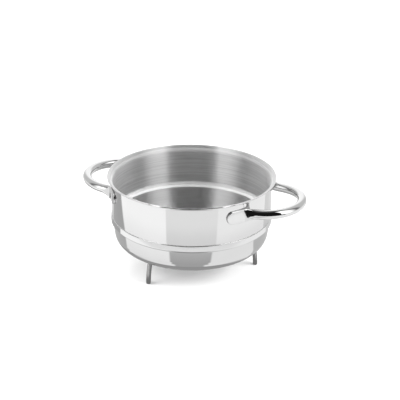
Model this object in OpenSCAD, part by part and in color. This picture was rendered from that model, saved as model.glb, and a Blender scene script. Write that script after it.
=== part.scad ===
// Steamer insert: a drawn steel vessel with a perforated base, a shoulder that
// seats on the rim of a pot, two flattened-end tube handles and three rod legs.
// Millimetres, +Z up. The origin is on the vessel's axis at the height of the feet,
// and +X runs out through the middle of the right handle.

/* [Vessel] */
// Inside diameter of the upper wall
bore_d = 240; // [220:1:280]
// Thickness of the drawn sheet
sheet_t = 1; // [0.8:0.1:1.2]
// Height from the underside of the base to the rim
vessel_h = 110; // [100:1:140]
// How far the lip reaches beyond the outside of the upper wall
lip_reach = 6; // [5:0.5:9]
// Angle of the lip's flange above level
lip_rise = 12; // [5:1:30]
// Radius of the bend under the lip
lip_bend_r = 5; // [3:0.5:5.5]

/* [Shoulder] */
// Depth of the shoulder's top edge below the rim
shoulder_depth = 60.5; // [55:0.5:70]
// Height of the shoulder
shoulder_h = 11; // [9:0.5:13]
// How far the shoulder steps out just under its top edge
shoulder_step = 0.8; // [0.6:0.1:1.3]
// How far the shoulder stands out at its widest
shoulder_out = 1.9; // [1.4:0.1:2.4]
// Height over which the shoulder draws in to the lower wall
seat_run = 2.5; // [2:0.1:3.5]
// Radius of the bends at the shoulder's top edge
step_bend_r = 0.7; // [0.7:0.1:1.2]
// Radius of the bends at the shoulder's lower edge
seat_bend_r = 1.2; // [0.8:0.1:1.6]
// Outside diameter of the lower wall where it leaves the shoulder
spigot_d = 239.2; // [236:0.1:239.6]

/* [Base] */
// Lean of the lower wall from upright
wall_lean = 6; // [3:0.5:8]
// Outside radius of the corner between lower wall and base
corner_r = 23; // [16:1:26]
// Diameter of one steam hole
hole_d = 5.5; // [4:0.5:6]
// Distance between two rings of steam holes
ring_pitch = 10.5; // [9:0.5:10.5]
// Number of rings of steam holes
ring_count = 8; // [4:1:8]
// Steam holes that each ring has more than the ring inside it
ring_step = 4; // [3:1:4]

/* [Handles] */
// Diameter of the handle tube
tube_d = 14; // [12:0.5:15]
// Thickness of the tube where it is pressed flat
pad_t = 2.4; // [2:0.1:3]
// Length of the flat end along the wall
pad_l = 24; // [20:1:28]
// Gap that the weld fills between a flat end and the wall
weld_gap = 0.05; // [0.05:0.05:0.2]
// Distance from the vessel's axis to the outermost point of a handle
handle_reach = 177; // [170:1:190]
// Radius of the loop to the middle of the tube
loop_r = 53.3; // [50:0.1:56]
// Angle by which each side of the loop closes in
loop_close = 9.7; // [6:0.1:12]
// Radius of the bend between the loop and the flat end
root_bend_r = 32; // [24:1:32]
// Depth of the handles' roots below the rim
handle_drop = 22.6; // [20:0.1:30]
// Slope at which the loop rises away from the wall
handle_tilt = 3.4; // [0:0.1:6]

/* [Legs] */
// Number of legs
leg_count = 3; // [3]
// Diameter of the leg rod
rod_d = 7; // [5:0.5:8]
// Height of the legs under the base
leg_h = 34; // [28:1:40]
// How far inside the pot's rim the middle of a foot stands
foot_inset = 19.1; // [15.6:0.5:29.6]
// Angle of the first leg, counted from the right handle
leg_turn = 12.8; // [0:0.1:60]
// Lean of a leg where it meets the base
leg_lean = 14.5; // [8:0.5:20]
// Width of the eased edge round a foot
foot_ease = 0.7; // [0.3:0.1:1.2]

/* [Hidden] */
steel = [0.80, 0.81, 0.82];
tube_steel = [0.72, 0.73, 0.75];
rod_steel = [0.60, 0.61, 0.63];
round_fn = 64;
bend_step = 9;
tube_sides = 28;
ring_gap = 3.4;
cap_rings = 6;
over = 1;

rim_z = leg_h + vessel_h;
wall_r = bore_d / 2 + sheet_t;

// ---- Bent outlines ----

// A point on a bent line is [x, y, heading]; a corner is [x, y, bend radius].
function heading(a, b) = atan2(b[1] - a[1], b[0] - a[0]);
function turn(a, b, c) = let (t = heading(b, c) - heading(a, b)) t - 360 * round(t / 360);
function across(a) = [sin(a), -cos(a)];
function along(a) = [cos(a), sin(a)];

// The corner b between a and c, rounded to its own radius.
function bend(a, b, c) =
    let (
        t = turn(a, b, c),
        h = heading(a, b),
        side = sign(t),
        start = [b[0], b[1]] - along(h) * b[2] * tan(abs(t) / 2),
        centre = start - side * b[2] * across(h),
        steps = ceil(abs(t) / bend_step)
    )
    [for (i = [0:steps])
        let (now = h + t * i / steps, p = centre + side * b[2] * across(now))
        [p[0], p[1], now]];

// A whole bent line through its corners, from the first to the last.
function bent_line(c) =
    let (last = len(c) - 1)
    concat(
        [[c[0][0], c[0][1], heading(c[0], c[1])]],
        [for (i = [1:last - 1]) for (p = bend(c[i - 1], c[i], c[i + 1])) p],
        [[c[last][0], c[last][1], heading(c[last - 1], c[last])]]
    );

// The outline of a sheet whose middle runs along a bent line.
function sheet_outline(line, t) =
    let (last = len(line) - 1)
    concat(
        [for (p = line) [p[0], p[1]] + across(p[2]) * t / 2],
        [for (i = [last:-1:0]) [line[i][0], line[i][1]] - across(line[i][2]) * t / 2]
    );

// ---- Vessel ----

wall_mid = wall_r - sheet_t / 2;
spigot_mid = spigot_d / 2 - sheet_t / 2;
step_mid = wall_mid + shoulder_step;
widest_mid = wall_mid + shoulder_out;
shoulder_z = rim_z - shoulder_depth;
seat_z = shoulder_z - shoulder_h;
base_mid_z = leg_h + sheet_t / 2;
step_run = 0.75 * step_bend_r;
corner_x = spigot_mid - (seat_z - base_mid_z) * tan(wall_lean);
lip_end_x = wall_r + lip_reach - sheet_t / 2 * sin(lip_rise);
lip_end_z = rim_z - sheet_t / 2 * cos(lip_rise);
lip_corner_z = lip_end_z - (lip_end_x - wall_mid) * tan(lip_rise);

// The middle of the sheet, from the centre of the base out and up to the lip.
vessel_line = bent_line([
    [0, base_mid_z, 0],
    [corner_x, base_mid_z, corner_r - sheet_t / 2],
    [spigot_mid, seat_z, seat_bend_r],
    [widest_mid, seat_z + seat_run, seat_bend_r],
    [step_mid, shoulder_z - step_run, step_bend_r],
    [wall_mid, shoulder_z, step_bend_r],
    [wall_mid, lip_corner_z, lip_bend_r + sheet_t / 2],
    [lip_end_x, lip_end_z, 0]
]);

function ring_r(k) = (k - 0.5) * ring_pitch;

module steam_holes() {
    for (k = [1:ring_count])
        for (i = [0:ring_step * k - 1])
            rotate([0, 0, i * 360 / (ring_step * k)])
                translate([ring_r(k), 0, leg_h - over])
                    cylinder(d = hole_d, h = sheet_t + 2 * over, $fn = round_fn);
}

module vessel() {
    color(steel)
        difference() {
            rotate_extrude($fn = round_fn) polygon(sheet_outline(vessel_line, sheet_t));
            steam_holes();
        }
}

// ---- Handles ----

// In plan each side of a handle is a flat end that follows the wall, a root bend
// that turns away from it, a short straight and half of the loop.
tube_r = tube_d / 2;
pad_r = wall_r + weld_gap + pad_t / 2;
loop_x = handle_reach - tube_r - loop_r;
bend_reach = pad_r + root_bend_r;
root_turn = asin((loop_x * sin(loop_close) + loop_r + root_bend_r) / bend_reach) - loop_close;
bend_x = bend_reach * cos(root_turn);
bend_y = bend_reach * sin(root_turn);
bend_sweep = 90 - loop_close - root_turn;
straight_x0 = bend_x - root_bend_r * sin(loop_close);
straight_y0 = bend_y - root_bend_r * cos(loop_close);
straight_x1 = loop_x + loop_r * sin(loop_close);
straight_y1 = loop_r * cos(loop_close);

bend_l = root_bend_r * bend_sweep * PI / 180;
straight_l = norm([straight_x1 - straight_x0, straight_y1 - straight_y0]);
half_loop_l = loop_r * (90 - loop_close) * PI / 180;
half_l = pad_l + bend_l + straight_l + half_loop_l;

// Plan position and heading at a distance s from the tip of the flat end.
function on_pad(s) = let (a = root_turn + (pad_l - s) / pad_r * 180 / PI)
    [pad_r * cos(a), pad_r * sin(a), a - 90];
function on_bend(s) = let (a = root_turn + s / root_bend_r * 180 / PI)
    [bend_x - root_bend_r * cos(a), bend_y - root_bend_r * sin(a), a - 90];
function on_straight(s) = let (f = s / straight_l)
    [straight_x0 + f * (straight_x1 - straight_x0),
     straight_y0 + f * (straight_y1 - straight_y0), -loop_close];
function on_loop(s) = let (a = 90 - loop_close - s / loop_r * 180 / PI)
    [loop_x + loop_r * cos(a), loop_r * sin(a), a - 90];
function half_plan(s) =
    s < pad_l ? on_pad(s) :
    s < pad_l + bend_l ? on_bend(s - pad_l) :
    s < pad_l + bend_l + straight_l ? on_straight(s - pad_l - bend_l) :
    on_loop(s - pad_l - bend_l - straight_l);
function mirrored(p) = [p[0], -p[1], -180 - p[2]];
function plan(s) = s <= half_l ? half_plan(s) : mirrored(half_plan(2 * half_l - s));

// Half thickness of the tube: as flat as its distance from the wall asks.
function half_t(p) =
    let (room = norm([p[0], p[1]]) - wall_r - weld_gap)
    pow(pow(room, -4) + pow(tube_r, -4), -1 / 4);

// Pressing a tube flat keeps its girth, so it grows taller as it gets thinner.
function half_h(t) = t + PI / 2 * (tube_r - t);

// The tip of a flat end is cut to a half round.
pad_half_h = half_h(pad_t / 2);
function tip_share(s) =
    let (d = min(s, 2 * half_l - s))
    d >= pad_half_h ? 1 : sqrt(1 - pow(1 - d / pad_half_h, 2));

// The loop leaves the level of its roots in a soft curve.
lift_run = 8;
function lift(p) = let (x = p[0] - straight_x0)
    tan(handle_tilt) * (x + norm([x, lift_run])) / 2;

// One closed ring of points round the tube at a distance s.
function tube_ring(s) =
    let (
        p = plan(s),
        t = half_t(p),
        h = max(t, half_h(t) * tip_share(s)),
        z = rim_z - handle_drop + lift(p)
    )
    [for (i = [0:tube_sides - 1])
        let (
            a = 360 * (i + 0.5) / tube_sides,
            out = t * cos(a),
            up = t * sin(a) + sign(sin(a)) * (h - t),
            side = across(p[2])
        )
        [p[0] + out * side[0], p[1] + out * side[1], z + up]];

// Distances of the rings: close together round each tip, even between them.
tip_s = [for (i = [1:cap_rings]) pad_half_h * (1 - cos(90 * i / cap_rings))];
even_n = ceil((2 * half_l - 2 * pad_half_h) / ring_gap);
even_s = [for (i = [1:even_n - 1]) pad_half_h + (2 * half_l - 2 * pad_half_h) * i / even_n];
ring_s = concat(
    tip_s, even_s,
    [for (i = [cap_rings - 1:-1:0]) 2 * half_l - tip_s[i]]
);

function skin_faces(rings, sides) = concat(
    [[for (i = [0:sides - 1]) i]],
    [for (r = [0:rings - 2]) for (i = [0:sides - 1])
        let (a = r * sides + i, b = r * sides + (i + 1) % sides)
        [a, a + sides, b + sides, b]],
    [[for (i = [sides - 1:-1:0]) (rings - 1) * sides + i]]
);

module handle() {
    points = [for (s = ring_s) for (q = tube_ring(s)) q];
    color(tube_steel)
        polyhedron(points, skin_faces(len(ring_s), tube_sides), convexity = 4);
}

module handle_right() { handle(); }
module handle_left() { rotate([0, 0, 180]) handle(); }

// ---- Legs ----

foot_r = spigot_d / 2 - foot_inset;
leg_bend_r = leg_h / sin(leg_lean);
sole_r = rod_d / 2 - foot_ease;

// The rod stands upright at the foot and bends in towards the vessel's axis in
// one even curve. It runs on past the foot and the base until it is cut.
module bent_rod() {
    translate([-leg_bend_r, 0, 0])
        rotate([90, 0, 0])
            rotate([0, 0, -leg_lean / 4])
                rotate_extrude(angle = 2 * leg_lean, $fn = 4 * round_fn)
                    translate([leg_bend_r, 0]) circle(d = rod_d, $fn = round_fn);
}

// Both ends are cut level, and a cone eases the edge of the foot.
module leg(i) {
    color(rod_steel)
        rotate([0, 0, leg_turn + i * 360 / leg_count])
            translate([foot_r, 0, 0])
                intersection() {
                    bent_rod();
                    cylinder(r1 = sole_r, r2 = sole_r + leg_h, h = leg_h, $fn = round_fn);
                }
}

module leg_right() { leg(0); }
module leg_back() { leg(1); }
module leg_front() { leg(2); }

vessel();
handle_right();
handle_left();
leg_right();
leg_back();
leg_front();
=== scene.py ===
# %% [markdown]
# # A steamer insert in polished steel
# The object is a steaming tier: a drawn steel vessel with holes in its base, which hangs by its
# shoulder on the rim of a pot or stands on three short rod legs. Two bent tubes are welded on as
# handles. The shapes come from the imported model, which is loaded first and never moved. This lesson
# adds what the eye needs on top of them: smooth handles, the finishes of the steel, a studio and a
# camera.

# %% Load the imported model
import math
import bpy
from mathutils import Matrix, Vector


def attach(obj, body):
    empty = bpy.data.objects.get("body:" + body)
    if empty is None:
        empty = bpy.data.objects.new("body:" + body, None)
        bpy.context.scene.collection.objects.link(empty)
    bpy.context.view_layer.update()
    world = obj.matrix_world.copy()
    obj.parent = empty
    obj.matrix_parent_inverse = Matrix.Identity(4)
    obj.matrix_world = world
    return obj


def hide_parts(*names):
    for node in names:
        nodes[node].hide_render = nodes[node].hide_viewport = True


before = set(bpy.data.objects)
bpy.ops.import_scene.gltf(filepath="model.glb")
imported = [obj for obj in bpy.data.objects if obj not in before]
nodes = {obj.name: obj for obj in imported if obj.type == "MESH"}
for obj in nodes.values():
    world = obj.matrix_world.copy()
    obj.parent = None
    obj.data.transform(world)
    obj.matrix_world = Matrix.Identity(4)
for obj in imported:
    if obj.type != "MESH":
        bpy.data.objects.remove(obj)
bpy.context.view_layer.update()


print("nodes:", ", ".join(sorted(nodes)))

# %% [markdown]
# ## Writing a finish as a sum
# A finish is a network of nodes. Wiring it node by node is long and hard to read, so two small
# classes do the wiring. A Wire holds one output socket, and a sum on it adds a Math node, so that
# 1 - mask is one line of Python. A Finish holds the material, and its one method makes every other
# node.

# %% Wires
class Wire:
    """One value on its way through a finish."""

    def __init__(self, finish, socket):
        self.finish, self.socket = finish, socket

    def maths(self, kind, *values):
        """A Math node that takes these values in this order."""
        return self.finish.node("ShaderNodeMath", {"operation": kind}, dict(enumerate(values)))

    def both_ways(kind):
        """An operator for wire - 1, and its reflected form for 1 - wire."""
        return (lambda self, other: self.maths(kind, self, other),
                lambda self, other: self.maths(kind, other, self))

    __add__, __radd__ = both_ways("ADD")
    __sub__, __rsub__ = both_ways("SUBTRACT")
    __mul__, __rmul__ = both_ways("MULTIPLY")
    __truediv__, __rtruediv__ = both_ways("DIVIDE")
    __pow__, __rpow__ = both_ways("POWER")

    def __gt__(self, other):
        return self.maths("GREATER_THAN", self, other)

    def __abs__(self):
        return self.maths("ABSOLUTE", self)


# %% [markdown]
# The method node sets a node's own settings first, because some of them change which sockets it
# has, and then fills the sockets with plain values or with wires. It returns the wire of one
# output. The other methods are short names for the nodes that every finish here needs.

# %% Finishes
class Finish:
    """A material, and the one way to add a node to it."""

    def __init__(self, name):
        self.material = bpy.data.materials.new(name)
        self.material.use_nodes = True
        self.tree = self.material.node_tree
        self.tree.nodes.clear()

    def node(self, kind, settings=None, sockets=None, out=0):
        """A node of this kind, with its settings and then its sockets filled."""
        made = self.tree.nodes.new(kind)
        for name, value in (settings or {}).items():
            setattr(made, name, value)
        for name, value in (sockets or {}).items():
            if isinstance(value, Wire):
                self.tree.links.new(value.socket, made.inputs[name])
            else:
                made.inputs[name].default_value = value
        return Wire(self, made.outputs[out]) if len(made.outputs) else None

    def place(self):
        """Where a point is on the object: as a vector, and as x, y and z in metres."""
        spot = self.node("ShaderNodeTexCoord", out="Object")
        parts = [self.node("ShaderNodeSeparateXYZ", {}, {"Vector": spot}, out=axis)
                 for axis in "XYZ"]
        return spot, *parts

    def join(self, x, y, z):
        """Three numbers as one vector."""
        return self.node("ShaderNodeCombineXYZ", {}, {"X": x, "Y": y, "Z": z})

    def ease(self, value, start, end, low=0.0, high=1.0):
        """Runs from low to high in a soft curve while the value goes from start to end."""
        return self.node("ShaderNodeMapRange", {"interpolation_type": "SMOOTHSTEP"}, {
            "Value": value, "From Min": start, "From Max": end, "To Min": low, "To Max": high})

    def between(self, value, start, full, fading, end):
        """A mask that is 1 from full to fading, and 0 before start and after end."""
        return self.ease(value, start, full) * self.ease(value, end, fading)

    def noise(self, path, scale=1.0, detail=2.0, roughness=0.5):
        """A cloudy pattern from 0 to 1. A path that is stretched one way turns it into streaks."""
        return self.node("ShaderNodeTexNoise", {}, {
            "Vector": path, "Scale": scale, "Detail": detail, "Roughness": roughness})

    def bump(self, height, strength, distance):
        """Small hills and valleys that only the light sees."""
        return self.node("ShaderNodeBump", {}, {
            "Strength": strength, "Distance": distance, "Height": height})

    def grey(self, share):
        """A level as a neutral grey colour: 0 is black, 1 is white, and a lamp may be brighter."""
        return self.node("ShaderNodeMix", {"data_type": "RGBA", "clamp_factor": False}, {
            0: share, 6: (0, 0, 0, 1), 7: (1, 1, 1, 1)}, out=2)

    def metal(self, tone, roughness, **more):
        """Bare metal of a grey tone."""
        return self.node("ShaderNodeBsdfPrincipled", {}, {
            "Base Color": self.grey(tone), "Metallic": 1.0, "Roughness": roughness, **more})

    def blend(self, share, first, second):
        """Two surfaces in one: the share of the second, and the rest of the first."""
        return self.node("ShaderNodeMixShader", {}, {0: share, 1: first, 2: second})

    def end(self, surface):
        """Closes the finish and hands over its material."""
        self.node("ShaderNodeOutputMaterial", {}, {"Surface": surface})
        print("finish:", self.material.name, "-", len(self.tree.nodes), "nodes")
        return self.material


# %% [markdown]
# ## The vessel's steel
# The vessel is one drawn sheet with two finishes. Outside it is polished until it works as a
# mirror. Inside it is brushed on a turntable, so that fine lines run round it, up the wall and
# across the base. Two materials would need the mesh cut in two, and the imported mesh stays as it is.
# One material with a mask can tell the sides apart: seen from the inner side, the way to a point
# high on the axis goes out of the sheet, and from the outer side it goes into it.

# %% The side of the sheet
AXIS_POINT = (0.0, 0.0, 0.32)
vessel_finish = Finish("drawn_steel_sheet")
spot, x, y, z = vessel_finish.place()
facing = vessel_finish.node("ShaderNodeNewGeometry", out="Normal")
to_axis = vessel_finish.node("ShaderNodeVectorMath", {"operation": "SUBTRACT"}, {
    0: AXIS_POINT, 1: spot})
towards_axis = vessel_finish.node("ShaderNodeVectorMath", {"operation": "DOT_PRODUCT"}, {
    0: facing, 1: to_axis}, out="Value")
inside = towards_axis > 0.0
print("the mask's point on the axis, in mm up:", 1000 * AXIS_POINT[2])

# %% [markdown]
# The lines of a brushed finish come from grit that is held still while the vessel turns. A noise
# that is stretched far along the turn looks the same. Its three numbers are the two sideways
# places, which change slowly, and the distance along the sheet's section, which changes fast. That
# distance is the radius on the base and the height on the wall, so their sum serves both. A fine
# set makes the hairlines and a coarser one the bands, where the grit pressed harder.

# %% Brush lines
def from_axis(x, y):
    """The distance from the vessel's axis."""
    return (x * x + y * y) ** 0.5


along_section = from_axis(x, y) + z
HAIRLINES = {"wide": 9.0, "fine": 520.0}
BANDS = {"wide": 5.0, "fine": 130.0}


def brush(wide, fine):
    """Lines round the axis: wide and fine are the changes in a metre round and across them."""
    path = vessel_finish.join(x * wide, y * wide, along_section * fine)
    return vessel_finish.noise(path, roughness=0.6)


hairlines, bands = brush(**HAIRLINES), brush(**BANDS)
for name, lines in (("hairlines", HAIRLINES), ("bands", BANDS)):
    print(name, "in 100 mm of wall:", round(0.1 * lines["fine"]))

# %% [markdown]
# Polished steel isn't perfect either. Buffing leaves a haze of tiny arcs, which shows only as a
# little roughness and a trace of unevenness in the tone.

# %% Polished side
POLISHED_ROUGH, BUFFING_ROUGH = 0.045, 0.03
buffing = vessel_finish.noise(spot, scale=55.0, detail=3.0)
polished = vessel_finish.metal(
    0.67 + 0.02 * (buffing - 0.5), POLISHED_ROUGH + BUFFING_ROUGH * buffing)
print("the polished side's roughness:", POLISHED_ROUGH, "to", POLISHED_ROUGH + BUFFING_ROUGH)

# %% [markdown]
# The brushed side is far rougher across its lines than along them, so a light stretches up and down
# the wall and keeps sharp edges to its left and right. The glossy shader allows a stronger stretch
# than the all-round one, so it is used here: one fixed number sets the stretch, and the lines vary
# the rest.

# %% Brushed side
BRUSHED_ROUGH, BRUSHED_STRETCH = 0.36, 0.85
brushed = vessel_finish.node("ShaderNodeBsdfAnisotropic", {}, {
    "Color": (0.94, 0.94, 0.94, 1), "Anisotropy": BRUSHED_STRETCH,
    "Roughness": BRUSHED_ROUGH + 0.08 * (hairlines - 0.5) + 0.05 * (bands - 0.5),
    "Normal": vessel_finish.bump(hairlines, strength=0.3, distance=0.0004)})
print("the brushed side's roughness:", BRUSHED_ROUGH, "and its stretch:", BRUSHED_STRETCH)

# %% [markdown]
# Between its lines a brushed sheet is torn and dull, and spreads the light far wider than the lines
# do. A second, rough metal stands for that. It takes a larger share above the shoulder, where the
# grit cut deeper, than below it, and the share goes up and down with the bands. Its tone follows
# the hairlines, which keeps them visible where nothing bright is mirrored.

# %% Haze between the lines
SHOULDER_FROM, SHOULDER_TO = 0.066, 0.072
HAZE_BELOW, HAZE_ABOVE = 0.08, 0.26
haze_tone = vessel_finish.ease(hairlines, 0.38, 0.62, 0.58, 1.0)
haze = vessel_finish.metal(haze_tone, 0.75)
haze_share = (vessel_finish.ease(z, SHOULDER_FROM, SHOULDER_TO, HAZE_BELOW, HAZE_ABOVE)
              + 0.30 * (bands - 0.5))
brushed_hazy = vessel_finish.blend(haze_share, brushed, haze)
print("haze below and above the shoulder:", HAZE_BELOW, HAZE_ABOVE)

# %% [markdown]
# The groove inside the shoulder and the bend under the lip carry a painted highlight. A plain, rough
# surface that isn't metal, pale from everywhere, stands in for the bright rings that the steel
# mirrors there. Masks by height say how much of it each place gets, less under the lip, and a little
# of it lies everywhere. With it the inner side is complete, and the mask of the sheet's sides joins
# it to the polished one.

# %% Matt places and painted highlights
GROOVE_HIGHLIGHT = (0.0720, 0.0732, 0.0795, 0.0820)
UNDER_LIP_HIGHLIGHT = (0.1320, 0.1385, 0.1398, 0.1418)
matt_and_painted_highlight = vessel_finish.node("ShaderNodeBsdfPrincipled", {}, {
    "Base Color": (0.92, 0.92, 0.92, 1), "Roughness": 0.55})
# painted highlight: the pale matt surface lies mostly in the groove and under the lip
matt_and_highlight_share = (0.030 + 0.55 * vessel_finish.between(z, *GROOVE_HIGHLIGHT)
              + 0.16 * vessel_finish.between(z, *UNDER_LIP_HIGHLIGHT))
inner_steel = vessel_finish.blend(matt_and_highlight_share, brushed_hazy, matt_and_painted_highlight)
vessel_steel = vessel_finish.blend(inside, polished, inner_steel)
nodes["vessel"].material_slots[0].material = vessel_finish.end(vessel_steel)

# %% [markdown]
# ## The handles' steel
# The tubes are polished with a belt before they are bent and with a mop after they are welded on.
# The mop leaves a soft haze, and the flat ends, which the press has squeezed, keep a trace of its
# marks. How flat the tube is follows from its distance from the wall, so that distance is the mask.

# %% Handle finish
WALL_R = 0.121
FLAT_GAP, ROUND_GAP = 0.003, 0.010
handle_finish = Finish("polished_tube")
spot_h, xh, yh, zh = handle_finish.place()
mop_haze = handle_finish.noise(spot_h, scale=70.0, detail=4.0)
press_marks = handle_finish.noise(handle_finish.join(xh * 60, yh * 60, zh * 900))
pressed = 1 - handle_finish.ease(from_axis(xh, yh) - WALL_R, FLAT_GAP, ROUND_GAP)
tube_rough = 0.035 + 0.03 * mop_haze + 0.05 * pressed * press_marks
tube_tone = 0.70 + 0.03 * (mop_haze - 0.5) - 0.03 * pressed * press_marks
mop_bump = handle_finish.bump(mop_haze, strength=0.12, distance=0.00005)
handle_material = handle_finish.end(handle_finish.metal(tube_tone, tube_rough, Normal=mop_bump))

# %% [markdown]
# ## The legs' steel
# The legs are cut from drawn rod. Drawing through a die leaves fine lines along the rod and a satin
# look, darker than the polished sheet. Lines along a standing rod change fast sideways and slowly
# upwards, which is the brush pattern turned by a right angle.

# %% Leg finish
leg_finish = Finish("drawn_rod")
_, xl, yl, zl = leg_finish.place()
die_lines = leg_finish.noise(leg_finish.join(xl * 2500, yl * 2500, zl * 60))
die_bump = leg_finish.bump(die_lines, strength=0.2, distance=0.00005)
rod_steel = leg_finish.metal(
    0.40 + 0.12 * (die_lines - 0.5), 0.16 + 0.14 * die_lines, Normal=die_bump)
leg_material = leg_finish.end(rod_steel)
for leg in ("leg_right", "leg_back", "leg_front"):
    nodes[leg].material_slots[0].material = leg_material

# %% [markdown]
# ## Smooth handles
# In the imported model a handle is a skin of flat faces, which is right for measuring but breaks up
# every reflection. A mirror needs a smooth skin, so each handle is made again from the same numbers
# with far closer rings and smooth shading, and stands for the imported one. In plan, one side of a
# handle is a flat end that follows the wall, a root bend that turns away from it, a short straight
# and half a loop. The lengths of those four stretches follow from the sizes below. The radius here
# is a hair under the tube's real 7 mm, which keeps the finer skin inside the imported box.

# %% Handle sizes
WELD_GAP, PAD_T, PAD_L = 0.00005, 0.0024, 0.024
TUBE_R, FULL_TUBE_R = 0.00694, 0.007
REACH, LOOP_R, ROOT_R = 0.177, 0.0533, 0.032
LOOP_CLOSE = math.radians(9.7)
pad_r = WALL_R + WELD_GAP + PAD_T / 2
loop_x = REACH - FULL_TUBE_R - LOOP_R
bend_reach = pad_r + ROOT_R
root_sine = (loop_x * math.sin(LOOP_CLOSE) + LOOP_R + ROOT_R) / bend_reach
root_turn = math.asin(root_sine) - LOOP_CLOSE
bend_mid = bend_reach * Vector((math.cos(root_turn), math.sin(root_turn)))
aside = Vector((math.sin(LOOP_CLOSE), math.cos(LOOP_CLOSE)))
straight_a, straight_b = bend_mid - ROOT_R * aside, Vector((loop_x, 0)) + LOOP_R * aside
lengths = [PAD_L, ROOT_R * (math.pi / 2 - LOOP_CLOSE - root_turn),
           (straight_b - straight_a).length, LOOP_R * (math.pi / 2 - LOOP_CLOSE)]
half_l = sum(lengths)
print("tube in one handle:", round(2000 * half_l, 1), "mm")

# %% [markdown]
# The run of the tube's middle is a function of the distance from the tip of a flat end, as a tube
# bender would read it off: so far flat, so far round the root, so far straight, and the rest loop.

# %% The run of the tube
def half_run(s):
    """Place and heading in plan at a distance s from the tip."""
    if s < lengths[0]:
        a = root_turn + (lengths[0] - s) / pad_r
        return pad_r * math.cos(a), pad_r * math.sin(a), a - math.pi / 2
    s -= lengths[0]
    if s < lengths[1]:
        a = root_turn + s / ROOT_R
        return (bend_mid.x - ROOT_R * math.cos(a), bend_mid.y - ROOT_R * math.sin(a),
                a - math.pi / 2)
    s -= lengths[1]
    if s < lengths[2]:
        p = straight_a.lerp(straight_b, s / lengths[2])
        return p.x, p.y, -LOOP_CLOSE
    a = math.pi / 2 - LOOP_CLOSE - (s - lengths[2]) / LOOP_R
    return loop_x + LOOP_R * math.cos(a), LOOP_R * math.sin(a), a - math.pi / 2


def run(s):
    """The same for the whole handle: its second half mirrors the first."""
    if s <= half_l:
        return half_run(s)
    x, y, a = half_run(2 * half_l - s)
    return x, -y, -math.pi - a


print("the tube's middle reaches", round(1000 * run(half_l)[0], 1), "mm from the axis")

# %% [markdown]
# A tube that is pressed flat keeps its girth, so it grows taller as it gets thinner, and the tip of
# the flat end is cut to a half round. Where the round tube turns flat, the press leaves its faces a
# little crowned, and the outer one leans in towards its top. Both are small, but a mirror shows
# them: they set how far the dark stripe runs along the root.

# %% The section of the tube
LIP_Z, BELOW_LIP = 0.144, 0.0226
TILT, LIFT_RUN = math.tan(math.radians(3.4)), 0.008
CROWN, CROWN_FROM, CROWN_TO = 0.5, 0.0020, 0.0045
LEAN, LEAN_FROM, LEAN_FULL, LEAN_FADING, LEAN_TO = 0.13, 0.00122, 0.00212, 0.0059, 0.0067


def taller(t):
    """Half the height of a tube that is pressed to half the thickness t."""
    return t + math.pi / 2 * (TUBE_R - t)


def ramp(value, start, end):
    """Runs from 0 to 1 in a straight line while the value goes from start to end."""
    return min(1, max(0, (value - start) / (end - start)))


pad_half = taller(PAD_T / 2)
print("a flat end is", round(2000 * pad_half, 1), "mm tall and", 1000 * PAD_T, "mm thick")

# %% [markdown]
# One ring is the outline of the section at one place: half a circle at its top and bottom, and flat
# sides between them, which the crown bulges. Half its thickness, t, is a soft minimum of the room
# that the wall leaves and the tube's own radius, and half its height, h, follows from t and from
# the cut of the tip. Past the root the tube eases into a small rise, so the loop stands a little
# higher than its ends. Enough such rings, one after the other, are the tube.

# %% One ring of the tube
def ring(s, sides):
    """A closed ring of points round the tube at a distance s from the tip."""
    x, y, a = run(s)
    room = math.hypot(x, y) - WALL_R - WELD_GAP
    t = (room ** -4 + TUBE_R ** -4) ** -0.25
    d = min(s, 2 * half_l - s)
    tip = 1 if d >= pad_half else math.sqrt(max(0, 1 - (1 - d / pad_half) ** 2))
    h = max(t, taller(t) * tip)
    crown = CROWN * ramp(t, CROWN_FROM, CROWN_TO)
    lean = LEAN * ramp(t, LEAN_FROM, LEAN_FULL) * ramp(t, LEAN_TO, LEAN_FADING)
    ahead = x - straight_a.x
    z = LIP_Z - BELOW_LIP + TILT * (ahead + math.hypot(ahead, LIFT_RUN)) / 2
    points = []
    for i in range(sides):
        b = 2 * math.pi * (i + 0.5) / sides
        flat_side = t * math.sin(b) + math.copysign(h - t, math.sin(b))
        up = flat_side + crown * (h * math.sin(b) - flat_side)
        out = t * math.cos(b) + lean * up * max(0, -math.cos(b))
        points.append((x + out * math.sin(a), y - out * math.cos(a), z + up))
    return points


# %% [markdown]
# The rings lie close together round each tip, where the outline turns fast, and a millimetre apart
# along the tube. The first one is a hundredth of a millimetre in from the tip, because a ring with
# no height would fold up. The skin between the rings is shaded smooth, so a mirror finish shows no
# facets. The left handle is the right one, turned by half a turn round the vessel's axis.

# %% Make the handles
FIRST_RING = 0.00001


def smooth_tube(name, turned, sides=56, tip_rings=14, pitch=0.0011):
    """A whole handle as one closed skin, turned to the other side of the vessel or not."""
    tips = [pad_half * (1 - math.cos(math.pi / 2 * i / tip_rings)) for i in range(tip_rings + 1)]
    tips[0] = FIRST_RING
    middle = 2 * half_l - 2 * pad_half
    count = math.ceil(middle / pitch)
    stations = tips + [pad_half + middle * i / count for i in range(1, count)]
    stations += [2 * half_l - s for s in reversed(tips)]
    points = [p for s in stations for p in ring(s, sides)]
    skin = []
    for low in range(0, len(points) - sides, sides):
        high = low + sides
        for i in range(sides):
            j = (i + 1) % sides
            skin.append((low + i, low + j, high + j, high + i))
    skin += [tuple(reversed(range(sides))), tuple(range(len(points) - sides, len(points)))]
    mesh = bpy.data.meshes.new(name)
    mesh.from_pydata([(-px, -py, pz) for px, py, pz in points] if turned else points, [], skin)
    mesh.shade_smooth()
    mesh.materials.append(handle_material)
    tube = bpy.data.objects.new(name, mesh)
    bpy.context.scene.collection.objects.link(tube)
    print(name, "-", len(stations), "rings,", len(mesh.polygons), "faces")
    return tube


for side, turned in (("right", False), ("left", True)):
    tube = smooth_tube("tube_" + side, turned)
    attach(tube, "root")
    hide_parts("handle_" + side)

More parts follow.
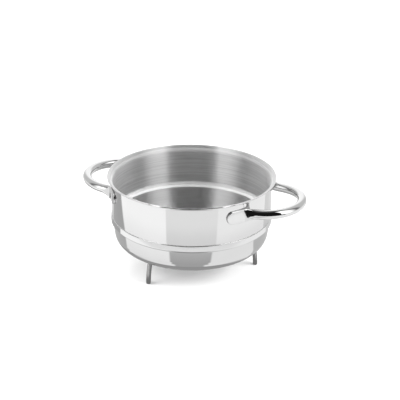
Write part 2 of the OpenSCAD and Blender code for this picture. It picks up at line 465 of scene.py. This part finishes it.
# %% [markdown]
# ## The studio
# Polished steel shows its surroundings more than itself, so the studio is part of the finish. The
# floor is pale and plain, with a faint gloss that mirrors the base. It is left out of the steel's
# reflections, which see a painted board just under it, where light and dark cards lie as they do
# round a shiny thing in any studio. From below the floor is clear, which leaves the underside in
# view.

# %% Floor
def stage_mesh(name, points, faces, material):
    """A thing of the studio, which isn't part of the object."""
    mesh = bpy.data.meshes.new(name)
    mesh.from_pydata(points, [], faces)
    mesh.materials.append(material)
    thing = bpy.data.objects.new(name, mesh)
    bpy.context.scene.collection.objects.link(thing)
    print("studio:", name)
    return thing


FLOOR_HALF = 9


def sheet_at(height):
    """The corners and the one face of a large square sheet."""
    return [(FLOOR_HALF * px, FLOOR_HALF * py, height)
            for px, py in ((-1, -1), (1, -1), (1, 1), (-1, 1))], [(0, 1, 2, 3)]


floor_finish = Finish("pale_floor")
seen_from_below = floor_finish.node("ShaderNodeNewGeometry", out="Backfacing")
paper = floor_finish.node("ShaderNodeBsdfPrincipled", {}, {
    "Base Color": (0.9, 0.9, 0.9, 1), "Roughness": 0.12, "Specular IOR Level": 0.5})
clear = floor_finish.node("ShaderNodeBsdfTransparent")
floor_material = floor_finish.end(floor_finish.blend(seen_from_below, paper, clear))
floor = stage_mesh("floor", *sheet_at(0), floor_material)
floor.visible_glossy = False

# %% [markdown]
# Board and tent are lit cards, and a card is a plain shader that only glows, with its light painted
# on. The paint follows the angle from the camera's side of the vessel, so both need that angle.

# %% Glow
CAMERA_TURN = math.radians(-68.55)


def glow(finish, level):
    """A surface that gives off light of this level and mirrors nothing."""
    return finish.node("ShaderNodeBsdfPrincipled", {}, {
        "Base Color": (0, 0, 0, 1), "Specular IOR Level": 0.0,
        "Emission Color": finish.grey(level), "Emission Strength": 1.0})


def turned_from_front(x, y):
    """The angle round the axis from the camera's side to a place, more than 0 to the right."""
    ahead = x * math.cos(CAMERA_TURN) + y * math.sin(CAMERA_TURN)
    aside = x * -math.sin(CAMERA_TURN) + y * math.cos(CAMERA_TURN)
    return x.maths("ARCTAN2", aside, ahead)


# %% [markdown]
# The board under the floor has four zones, which meet along lines that run out from the vessel: a
# grey one towards the camera, a bright one on each side and a darker one at the back. A polished
# wall turns such a line into the straight edge between a light and a dark field. The two edges of
# the back zone have a bend, so each is a line near the vessel and another one farther out.

# %% Zones of the board
EDGE = 0.004
LEFT_EDGE = ((0.002, -0.178), (-0.067, -0.407))
RIGHT_EDGE = ((0.115, -0.134), (0.342, -0.252))
BACK_LEFT_EDGE = ((-0.151, -0.093), (-0.175, -0.090)), ((-0.238, -0.107), (-0.369, -0.063))
BACK_RIGHT_EDGE = ((0.143, 0.009), (0.191, 0.029)), ((0.236, 0.178), (0.273, 0.252))
board_finish = Finish("reflector_board")
_, bx, by, _ = board_finish.place()
reach = from_axis(bx, by)


def line_side(a, c):
    """How far a place is to the left of the line from a to c, in metres."""
    way = ((c[0] - a[0]) / math.dist(a, c), (c[1] - a[1]) / math.dist(a, c))
    return way[0] * (by - a[1]) - way[1] * (bx - a[0])


near_to_far = board_finish.ease(reach, 0.195, 0.235)


def bent_side(near, far):
    """The same for an edge that goes over from a near line to a far one."""
    near_side, far_side = line_side(*near), line_side(*far)
    return near_side + near_to_far * (far_side - near_side)


left_of_front = board_finish.ease(line_side(*LEFT_EDGE), EDGE, -EDGE)
right_of_front = board_finish.ease(line_side(*RIGHT_EDGE), -EDGE, EDGE)
back_from_left = board_finish.ease(bent_side(*BACK_LEFT_EDGE), EDGE, -EDGE)
back_from_right = board_finish.ease(bent_side(*BACK_RIGHT_EDGE), -EDGE, EDGE)
print("the zones' edges are soft over", 2000 * EDGE, "mm")

# %% [markdown]
# Each zone has a level of its own near the vessel, which then goes up or down in soft steps as the
# distance from the axis grows. The lower levels near the vessel are painted shade, where the floor
# round it lies in its shade. Low on the wall the steel mirrors the near part and high on it the far
# part.

# %% Levels of the board
def zone_level(level, *steps):
    """A level at the vessel, and the steps from it: start, end and change."""
    for start, end, change in steps:
        level = level + board_finish.ease(reach, start, end, 0, change)
    return level


# painted shade: the levels are lower near the vessel, where the floor lies in its shade
front = zone_level(0.50, (0.175, 0.215, 0.13), (0.205, 0.300, 0.31), (0.290, 0.370, 0.13))
left = zone_level(1.08, (0.165, 0.215, 0.12), (0.260, 0.360, 0.13), (0.410, 0.450, -0.28))
right = zone_level(1.07, (0.270, 0.330, 0.12), (0.410, 0.450, -0.15))
back_left = zone_level(0.57, (0.180, 0.250, -0.06), (0.395, 0.425, 0.40))
back_right = zone_level(0.64, (0.170, 0.330, 0.25))
level = front + left_of_front * (left - front)
level = level + right_of_front * (right - level)
level = level + left_of_front * back_from_left * (back_left - level)
level = level + right_of_front * back_from_right * (back_right - level)
print("nodes for the board's zones and levels:", len(board_finish.tree.nodes))

# %% [markdown]
# Right under the vessel lies its shadow, a little off the axis, and the board is dim there. Towards
# the camera the board ends about half a metre out. Beyond it the steel mirrors the dark room, which
# draws the black stripe along a handle. On the other sides it goes on out of sight.

# %% Board
SHADOW_X, SHADOW_Y, SHADOW_LEVEL = -0.0093, -0.0037, 0.40
BOARD_Z, BOARD_END, DARK_LEVEL, OUT_OF_SIGHT = -0.0002, 0.472, 0.01, 9
off_front = abs(turned_from_front(bx, by))
clear_of_shadow = board_finish.ease(from_axis(bx - SHADOW_X, by - SHADOW_Y), 0.126, 0.133)
board_level = SHADOW_LEVEL + clear_of_shadow * (level - SHADOW_LEVEL)
board_end = (BOARD_END + board_finish.ease(off_front, 1.00, 0.60, 0, 0.075)
             + board_finish.ease(off_front, 0.90, 1.10, 0, OUT_OF_SIGHT))
on_board = board_finish.ease(reach - board_end, 0, 0.02, 1, DARK_LEVEL)
board_material = board_finish.end(glow(board_finish, board_level * on_board))
board = stage_mesh("reflector_board", *sheet_at(BOARD_Z), board_material)

# %% [markdown]
# Above the floor the studio is a tent. Its cloth is bright on both sides, dim a little behind them,
# and bright again at the back. The opening towards the camera is dark, and so is the ceiling. The
# steel alone sees board and tent: the floor takes its light from the world and the lamps, which
# gives the soft shadow under the vessel.

# %% Light of the tent
tent_finish = Finish("light_tent")
_, tx, ty, tz = tent_finish.place()
from_front = abs(turned_from_front(tx, ty))
rise = tz / (tx * tx + ty * ty + tz * tz) ** 0.5


def round_tent(start, end, low=0, high=1):
    """An ease over the angle from the camera's side, in degrees."""
    return tent_finish.ease(from_front, math.radians(start), math.radians(end), low, high)


DIM_CLOTH, SIDE_GAIN, BEHIND_GAIN, BACK_GAIN = 0.22, 1.75, 0.48, 0.56
OPENING_LEVEL, CEILING_LEVEL = 0.01, 0.08
opening = round_tent(38, 41, 1, 0)
ceiling = tent_finish.ease(rise, math.sin(math.radians(64)), math.sin(math.radians(73)))
cloth = (DIM_CLOTH + SIDE_GAIN * round_tent(60, 90, 1, 0) + BEHIND_GAIN * round_tent(90, 106)
         + BACK_GAIN * round_tent(140, 165))
cloth = cloth + opening * (OPENING_LEVEL - cloth)
cloth = cloth + ceiling * (CEILING_LEVEL - cloth)
tent_material = tent_finish.end(glow(tent_finish, cloth))

# %% [markdown]
# The tent itself is half a ball, made ring by ring from the floor to its top, which one last face
# closes. Its light is painted by direction, so it needs only enough faces to look round.

# %% Tent
TENT_R, TURNS, RISES = 3.0, 48, 12
tent_points = []
for j in range(RISES):
    e = math.pi / 2 * j / RISES
    for i in range(TURNS):
        a = 2 * math.pi * i / TURNS
        tent_points.append((TENT_R * math.cos(e) * math.cos(a), TENT_R * math.cos(e) * math.sin(a),
                            TENT_R * math.sin(e)))
tent_faces = []
for low in range(0, len(tent_points) - TURNS, TURNS):
    for i in range(TURNS):
        j = (i + 1) % TURNS
        tent_faces.append((low + i, low + j, low + TURNS + j, low + TURNS + i))
tent_faces.append(tuple(range(len(tent_points) - TURNS, len(tent_points))))
tent = stage_mesh("light_tent", tent_points, tent_faces, tent_material)
for thing in (board, tent):
    thing.visible_camera = thing.visible_diffuse = False
    thing.visible_shadow = thing.visible_transmission = False

# %% [markdown]
# An even white world lights the floor from all sides and gives the background. The plain view
# transform keeps white paper white, where a film-like one would turn it grey.

# %% World light
WORLD_STRENGTH = 1.25
world = bpy.data.worlds.new("even_light")
bpy.context.scene.world = world
world.use_nodes = True
sky = world.node_tree.nodes["Background"].inputs
sky["Color"].default_value = (1, 1, 1, 1)
sky["Strength"].default_value = WORLD_STRENGTH
bpy.context.scene.view_settings.view_transform = "Standard"
print("world strength:", WORLD_STRENGTH)

# %% [markdown]
# A wide lamp on each side, 30 degrees up and low enough to reach under the base, keeps the vessel's
# shadow small and soft. Both light the floor and the matt share of the steel, and are left out of
# the steel's reflections.

# %% Side lamps
LAMP_WIDE, LAMP_HIGH, LAMP_AWAY = 1.2, 0.7, 1.5
LAMP_OUT, LAMP_UP = 0.87, 0.5


def side_lamp(name, turn_from_camera, watts):
    """A lamp that faces the vessel from an angle in degrees, more than 0 to the right."""
    data = bpy.data.lights.new(name, "AREA")
    data.shape, data.size, data.size_y, data.energy = "RECTANGLE", LAMP_WIDE, LAMP_HIGH, watts
    lamp = bpy.data.objects.new(name, data)
    bpy.context.scene.collection.objects.link(lamp)
    around = CAMERA_TURN + math.radians(turn_from_camera)
    way = Vector((math.cos(around) * LAMP_OUT, math.sin(around) * LAMP_OUT, LAMP_UP))
    facing_in = way.to_track_quat("Z", "Y").to_matrix().to_4x4()
    lamp.matrix_world = Matrix.Translation(LAMP_AWAY * way) @ facing_in
    lamp.visible_glossy = False
    print(name, "-", watts, "W")


side_lamp("left_lamp", -80, 19.0)
side_lamp("right_lamp", 75, 27.0)

# %% [markdown]
# ## The camera
# The camera stands about 1.4 metres away and looks down at the vessel at about 24 degrees, with a
# short telephoto lens that keeps the ellipses calm. Its three axes are set straight from the way it
# looks and the way that is up in its picture.

# %% Camera
CAMERA_PLACE = Vector((0.4537, -1.1547, 0.6528))
CAMERA_AHEAD = Vector((-0.32539, 0.85390, -0.40618))
CAMERA_UP = Vector((-0.15749, 0.37462, 0.91371))
camera_data = bpy.data.cameras.new("camera")
camera_data.lens, camera_data.sensor_width = 80.3, 36.0
camera_data.clip_start, camera_data.clip_end = 0.01, 50.0
camera = bpy.data.objects.new("camera", camera_data)
bpy.context.scene.collection.objects.link(camera)
rightwards = CAMERA_AHEAD.cross(CAMERA_UP).normalized()
upwards = rightwards.cross(CAMERA_AHEAD).normalized()
axes = Matrix((rightwards, upwards, -CAMERA_AHEAD.normalized())).transposed().to_4x4()
camera.matrix_world = Matrix.Translation(CAMERA_PLACE) @ axes
bpy.context.scene.camera = camera
print("the camera's distance:", round(CAMERA_PLACE.length, 2), "m")
